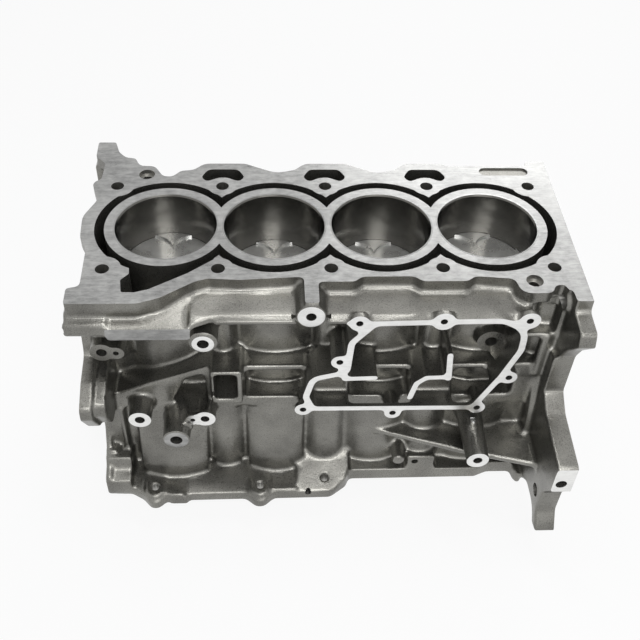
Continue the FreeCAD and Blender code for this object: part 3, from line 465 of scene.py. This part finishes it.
def drill(obj):
    """Liner bores, then every hole, then the second step of the holes that have two."""
    barrels = [bar("z", x, 0, LINER_R, -LINER_DEPTH, CLEAR, 128) for x in CYLINDER_X]
    cut(obj, barrels[::2], DRILLED)
    cut(obj, barrels[1::2], DRILLED)
    radius, depth = HEAD_HOLE
    holes = [bar("z", x, y, radius, -depth, CLEAR) for x, y in HEAD_BOLTS]
    radius, depth = DOWEL_BORE
    holes += [bar("z", x, y, radius, -depth, CLEAR) for x, y in DOWEL_HOLES]
    for x, z, r, y, hole, depth in FRONT_BOSSES:
        holes.append(bar("y", x, z, hole, y + depth, y - 2 * CLEAR, 40))
    for x, z, r, y, hole, depth in REAR_BOSSES:
        holes.append(bar("y", x, z, hole, y - depth, y + 2 * CLEAR, 40))
    radius, depth = SEPARATOR_HOLE
    for x, z in SEPARATOR_BOLTS:
        holes.append(bar("y", x, z, radius, SEPARATOR_Y + depth, SEPARATOR_Y - CLEAR, 32))
    for places, (radius, depth) in ((RAIL_HOLES, RAIL_HOLE), (BLIND_HOLES, BLIND_HOLE)):
        for x, y in both_sides(places):
            holes.append(bar("z", x, y, radius, BOTTOM - CLEAR, BOTTOM + depth, 32))
    radius, depth = TRANSMISSION_HOLE
    for y, z in TRANSMISSION_HOLES:
        holes.append(bar("x", y, z, radius, RIGHT - depth, RIGHT + CLEAR, 40))
    radius, depth = PAD_BORE
    holes.append(bar("y", *PAD_HOLE, radius, PAD_FACE[4] + depth, PAD_FACE[4] - CLEAR, 40))
    holes += [bar("y", x, z, radius, y0, y1, 32) for x, z, radius, y0, y1 in EDGE_HOLES]
    cut(obj, holes, DRILLED)
    radius, depth = HEAD_BORE
    steps = [bar("z", x, y, radius, -depth, CLEAR) for x, y in HEAD_BOLTS]
    radius, depth = DOWEL_HOLE
    steps += [bar("z", x, y, radius, -depth, 1 - DOWEL_BORE[1]) for x, y in DOWEL_HOLES]
    cut(obj, steps, DRILLED)


# ------------------------------------------------------------------ materials
class Nodes:
    """A small builder for a Principled material."""

    def __init__(self, name, metallic=1.0):
        self.material = bpy.data.materials.new(name)
        self.material.use_nodes = True
        self.tree = self.material.node_tree
        self.shader = self.tree.nodes["Principled BSDF"]
        self.shader.inputs["Metallic"].default_value = metallic
        self.place = self.tree.nodes.new("ShaderNodeTexCoord").outputs["Object"]

    def add(self, kind, **values):
        node = self.tree.nodes.new(kind)
        for key, value in values.items():
            if hasattr(node, key):
                setattr(node, key, value)
            else:
                node.inputs[key].default_value = value
        return node

    def link(self, a, b):
        self.tree.links.new(a, b)

    def noise(self, scale, detail=3.0, rough=0.55, place=None):
        node = self.add("ShaderNodeTexNoise", Scale=scale, Detail=detail, Roughness=rough)
        self.link(place or self.place, node.inputs["Vector"])
        return node.outputs["Fac"]

    def stretched(self, x, y, z):
        node = self.add("ShaderNodeMapping")
        node.inputs["Scale"].default_value = (x, y, z)
        self.link(self.place, node.inputs["Vector"])
        return node.outputs["Vector"]

    def ramp(self, value, low, high, a, b):
        node = self.add("ShaderNodeMapRange")
        for key, number in (("From Min", low), ("From Max", high), ("To Min", a), ("To Max", b)):
            node.inputs[key].default_value = number
        self.link(value, node.inputs["Value"])
        return node.outputs["Result"]

    def colours(self, value, stops):
        node = self.add("ShaderNodeValToRGB")
        elements = node.color_ramp.elements
        while len(elements) < len(stops):
            elements.new(0.5)
        for element, (position, colour) in zip(elements, stops):
            element.position = position
            element.color = (*colour, 1.0)
        self.link(value, node.inputs["Fac"])
        return node.outputs["Color"]

    def blend(self, a, b, share):
        """Mean of two values, the second with the given share."""
        first = self.add("ShaderNodeMath", operation="MULTIPLY")
        first.inputs[1].default_value = 1.0 - share
        self.link(a, first.inputs[0])
        both = self.add("ShaderNodeMath", operation="MULTIPLY_ADD")
        both.inputs[1].default_value = share
        self.link(b, both.inputs[0])
        self.link(first.outputs[0], both.inputs[2])
        return both.outputs[0]

    def above(self, height):
        """1 above a height in metres, 0 below it."""
        split = self.add("ShaderNodeSeparateXYZ")
        self.link(self.place, split.inputs[0])
        test = self.add("ShaderNodeMath", operation="GREATER_THAN")
        test.inputs[1].default_value = height
        self.link(split.outputs["Z"], test.inputs[0])
        return test.outputs[0]

    def mixed(self, share, a, b):
        node = self.add("ShaderNodeMix", data_type="RGBA")
        self.link(share, node.inputs["Factor"])
        self.link(a, node.inputs[6])
        self.link(b, node.inputs[7])
        return node.outputs[2]

    def bump(self, height, distance, strength=1.0, before=None):
        node = self.add("ShaderNodeBump")
        node.inputs["Distance"].default_value = distance
        node.inputs["Strength"].default_value = strength
        self.link(height, node.inputs["Height"])
        if before is not None:
            self.link(before, node.inputs["Normal"])
        return node.outputs["Normal"]

    def stains(self):
        """Cloudy stains, half of them drawn out along X."""
        drawn_out = self.noise(200, 4, 0.7, self.stretched(0.55, 1, 1))
        return self.blend(self.noise(12, 6, 0.7), drawn_out, 0.5)

    def finish(self, colour=None, roughness=None, normal=None):
        for socket, value in (("Base Color", colour), ("Roughness", roughness), ("Normal", normal)):
            if value is None:
                continue
            if hasattr(value, "links") or hasattr(value, "is_linked"):
                self.link(value, self.shader.inputs[socket])
            else:
                self.shader.inputs[socket].default_value = value
        return self.material


def cast_aluminium():
    """Sand-cast skin: satin metal with fine grain."""
    m = Nodes("cast_aluminium", 0.9)
    cloud = m.noise(24, 4)
    grain = m.noise(900, 4, 0.75)
    tone = m.blend(cloud, grain, 0.5)
    colour = m.colours(tone, [(0.36, (0.125, 0.122, 0.112)), (0.64, (0.275, 0.27, 0.248))])
    coarse = m.bump(m.noise(450, 3, 0.6), 0.0003, 0.12)
    return m.finish(colour, m.ramp(grain, 0.3, 0.7, 0.24, 0.38), m.bump(grain, 0.0002, 0.4, coarse))


def milled_aluminium(name, low, high):
    """Face-milled surface: fine cutter lines and faint stains."""
    m = Nodes(name, 1.0)
    stains = m.stains()
    lines = m.noise(900, 2, 0.6, m.stretched(0.06, 1, 1))
    colour = m.colours(m.blend(stains, lines, 0.2), [(0.41, (low, low, 0.985 * low)),
                                                     (0.59, (high, high, 0.98 * high))])
    return m.finish(colour, m.ramp(stains, 0.35, 0.65, 0.26, 0.40), m.bump(lines, 0.00003, 0.3))


def drilled_metal():
    """Inside of drilled and bored holes."""
    m = Nodes("drilled_metal", 1.0)
    lines = m.noise(700, 2, 0.5, m.stretched(1, 1, 4))
    return m.finish((0.40, 0.395, 0.375, 1), 0.38, m.bump(lines, 0.00005, 0.5))


def honed_iron():
    """Honed bore; the faced-off top of the liner is as bright as the deck."""
    m = Nodes("honed_iron", 1.0)
    cloud = m.noise(30, 3)
    lines = m.noise(700, 3, 0.7, m.stretched(0.08, 0.08, 3))
    wall = m.colours(cloud, [(0.3, (0.105, 0.102, 0.094)), (0.7, (0.15, 0.146, 0.135))])
    top = m.colours(m.stains(), [(0.38, (0.25, 0.25, 0.246)), (0.62, (0.38, 0.38, 0.372))])
    colour = m.mixed(m.above(-0.1 * MM), wall, top)
    return m.finish(colour, 0.17, m.bump(lines, 0.00012, 0.4))


def turned_aluminium():
    """Piston: even metal with soft patches."""
    m = Nodes("turned_aluminium", 0.85)
    cloud = m.noise(60, 4, 0.6)
    colour = m.colours(cloud, [(0.3, (0.48, 0.48, 0.47)), (0.7, (0.64, 0.64, 0.625))])
    return m.finish(colour, m.ramp(cloud, 0.3, 0.7, 0.22, 0.36))


def dark_steel(name, tone, roughness):
    """Steel or iron of one tone with darker patches."""
    m = Nodes(name, 1.0)
    cloud = m.noise(60, 3)
    darker = tuple(0.8 * c for c in tone)
    colour = m.colours(cloud, [(0.3, darker), (0.7, tone)])
    return m.finish(colour, m.ramp(cloud, 0.3, 0.7, roughness, roughness + 0.12))


def seal_rubber():
    m = Nodes("seal_rubber", 0.0)
    return m.finish((0.02, 0.02, 0.02, 1), m.ramp(m.noise(200), 0.3, 0.7, 0.55, 0.75))


# ------------------------------------------------------------------ build the visual model
CAST = cast_aluminium()
MILLED = milled_aluminium("milled_aluminium", 0.23, 0.40)
SPOTTED = milled_aluminium("spotfaced_aluminium", 0.72, 0.86)
DRILLED = drilled_metal()


def cylinder_block():
    """The casting: moulded, cored, faced, bored and drilled, in place of the CAD block."""
    node = frame["nodes"]["cylinder_block"]
    obj = object_of(raw_casting(node), "block_casting")
    obj.data.materials.append(CAST)
    share = CAST_TRIANGLES / sum(len(p.vertices) - 2 for p in obj.data.polygons)
    apply_modifier(obj, "DECIMATE", ratio=min(1.0, share))
    core = jacket_core(node)
    core.data.materials.clear()
    core.data.materials.append(CAST)
    apply_modifier(obj, "BOOLEAN", operation="DIFFERENCE", solver="MANIFOLD", object=core,
                   material_mode="TRANSFER")
    bpy.data.objects.remove(core)
    face_ends(obj)
    face_bosses(obj)
    drill(obj)
    obj.data.attributes.remove(obj.data.attributes["custom_normal"])
    flat = {i for i, m in enumerate(obj.data.materials) if m in (MILLED, SPOTTED)}
    smooth = [p.material_index not in flat for p in obj.data.polygons]
    obj.data.polygons.foreach_set("use_smooth", smooth)
    obj.data.set_sharp_from_angle(angle=math.radians(SHARP_ANGLE))
    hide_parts("cylinder_block")
    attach(obj, "block")
    return obj


def dress_cad_nodes():
    """Materials for the nodes that keep their CAD shape."""
    finish = {"liner_iron": honed_iron(), "piston_aluminium": turned_aluminium(),
              "crank_iron": dark_steel("forged_steel", (0.34, 0.33, 0.32), 0.35),
              "cap_iron": dark_steel("cap_iron", (0.26, 0.25, 0.24), 0.5),
              "bolt_steel": dark_steel("bolt_steel", (0.12, 0.12, 0.125), 0.35),
              "bearing_metal": dark_steel("bearing_metal", (0.55, 0.54, 0.52), 0.3),
              "ring_steel": dark_steel("ring_steel", (0.40, 0.40, 0.40), 0.25),
              "rod_steel": dark_steel("rod_steel", (0.30, 0.29, 0.28), 0.45),
              "seal_rubber": seal_rubber()}
    for part in frame["record"]["subparts"]:
        if part["material_slot"] in finish:
            obj = frame["nodes"][part["node"]]
            obj.data.materials.clear()
            obj.data.materials.append(finish[part["material_slot"]])


# ------------------------------------------------------------------ stage, light, camera
def floor():
    """Pale floor that the camera sees almost white."""
    size = 6.0
    z = cad_box[0][2] - 0.001
    mesh = bpy.data.meshes.new("floor")
    mesh.from_pydata([(-size, -size, z), (size, -size, z), (size, size, z), (-size, size, z)], [],
                     [(0, 1, 2, 3)])
    obj = object_of(mesh, "floor")
    material = bpy.data.materials.new("floor")
    material.use_nodes = True
    tree = material.node_tree
    shader = tree.nodes["Principled BSDF"]
    shader.inputs["Base Color"].default_value = (0.8, 0.8, 0.8, 1)
    shader.inputs["Roughness"].default_value = 0.9
    glow = tree.nodes.new("ShaderNodeEmission")
    glow.inputs["Strength"].default_value = 1.0
    path = tree.nodes.new("ShaderNodeLightPath")
    seen = any_ray(tree, path)
    mix = tree.nodes.new("ShaderNodeMixShader")
    share = tree.nodes.new("ShaderNodeMath")
    share.operation = "MULTIPLY"
    share.inputs[1].default_value = 0.9
    tree.links.new(seen, share.inputs[0])
    tree.links.new(share.outputs[0], mix.inputs[0])
    tree.links.new(shader.outputs[0], mix.inputs[1])
    tree.links.new(glow.outputs[0], mix.inputs[2])
    tree.links.new(mix.outputs[0], tree.nodes["Material Output"].inputs["Surface"])
    mesh.materials.append(material)


def any_ray(tree, path):
    """1 for camera, glossy and transmission rays."""
    total = path.outputs["Is Camera Ray"]
    for name in ("Is Glossy Ray", "Is Transmission Ray"):
        node = tree.nodes.new("ShaderNodeMath")
        node.operation = "MAXIMUM"
        tree.links.new(total, node.inputs[0])
        tree.links.new(path.outputs[name], node.inputs[1])
        total = node.outputs[0]
    return total


def world():
    """Soft pale light, behind a background that is seen as white."""
    scene = bpy.context.scene
    scene.world = bpy.data.worlds.new("studio")
    scene.world.use_nodes = True
    tree = scene.world.node_tree
    soft = tree.nodes["Background"]
    soft.inputs["Color"].default_value = (0.95, 0.97, 1.0, 1)
    soft.inputs["Strength"].default_value = 0.35
    white = tree.nodes.new("ShaderNodeBackground")
    white.inputs["Color"].default_value = (1, 1, 1, 1)
    white.inputs["Strength"].default_value = 1.0
    path = tree.nodes.new("ShaderNodeLightPath")
    mix = tree.nodes.new("ShaderNodeMixShader")
    tree.links.new(any_ray(tree, path), mix.inputs[0])
    tree.links.new(soft.outputs[0], mix.inputs[1])
    tree.links.new(white.outputs[0], mix.inputs[2])
    tree.links.new(mix.outputs[0], tree.nodes["World Output"].inputs["Surface"])


def lamp(name, place, target, size, power):
    light = bpy.data.lights.new(name, "AREA")
    light.shape = "RECTANGLE"
    light.size, light.size_y = size
    light.energy = power
    obj = bpy.data.objects.new(name, light)
    obj.location = place
    obj.rotation_euler = (Vector(target) - Vector(place)).to_track_quat("-Z", "Y").to_euler()
    bpy.context.scene.collection.objects.link(obj)


def lights():
    lamp("key", (0.05, -0.95, 1.05), (0, 0, -0.1), (0.6, 0.25), 7)
    lamp("top", (0.05, 0.05, 1.2), (0, 0, -0.05), (1.0, 0.2), 6)
    lamp("rear", (0.55, 1.45, 0.8), (0.1, 0, 0), (0.9, 0.5), 5.5)
    lamp("low", (0.3, -1.6, 0.5), (0, 0, -0.15), (1.2, 0.6), 4)


AZIMUTH, ELEVATION, ROLL = -4.32, 45.14, 2.67      # degrees
AIM = (-0.01202, -0.11723, 0.0)
DISTANCE = 0.711
LENS = 50.95                                        # on a 36 mm wide sensor


def camera():
    data = bpy.data.cameras.new("camera")
    data.sensor_width = 36.0
    data.lens = LENS
    data.clip_start = 0.01
    obj = bpy.data.objects.new("camera", data)
    a, e, r = (math.radians(v) for v in (AZIMUTH, ELEVATION, ROLL))
    back = Vector((math.sin(a) * math.cos(e), -math.cos(a) * math.cos(e), math.sin(e)))
    right = Vector((math.cos(a), math.sin(a), 0))
    up = back.cross(right)
    turned_right = right * math.cos(r) + up * math.sin(r)
    turned_up = -right * math.sin(r) + up * math.cos(r)
    axes = Matrix((turned_right, turned_up, back)).transposed().to_4x4()
    obj.matrix_world = Matrix.Translation(Vector(AIM) + back * DISTANCE) @ axes
    bpy.context.scene.collection.objects.link(obj)
    bpy.context.scene.camera = obj


camera()
world()
lights()
floor()
dress_cad_nodes()
cylinder_block()
bpy.context.scene.view_settings.view_transform = "Standard"
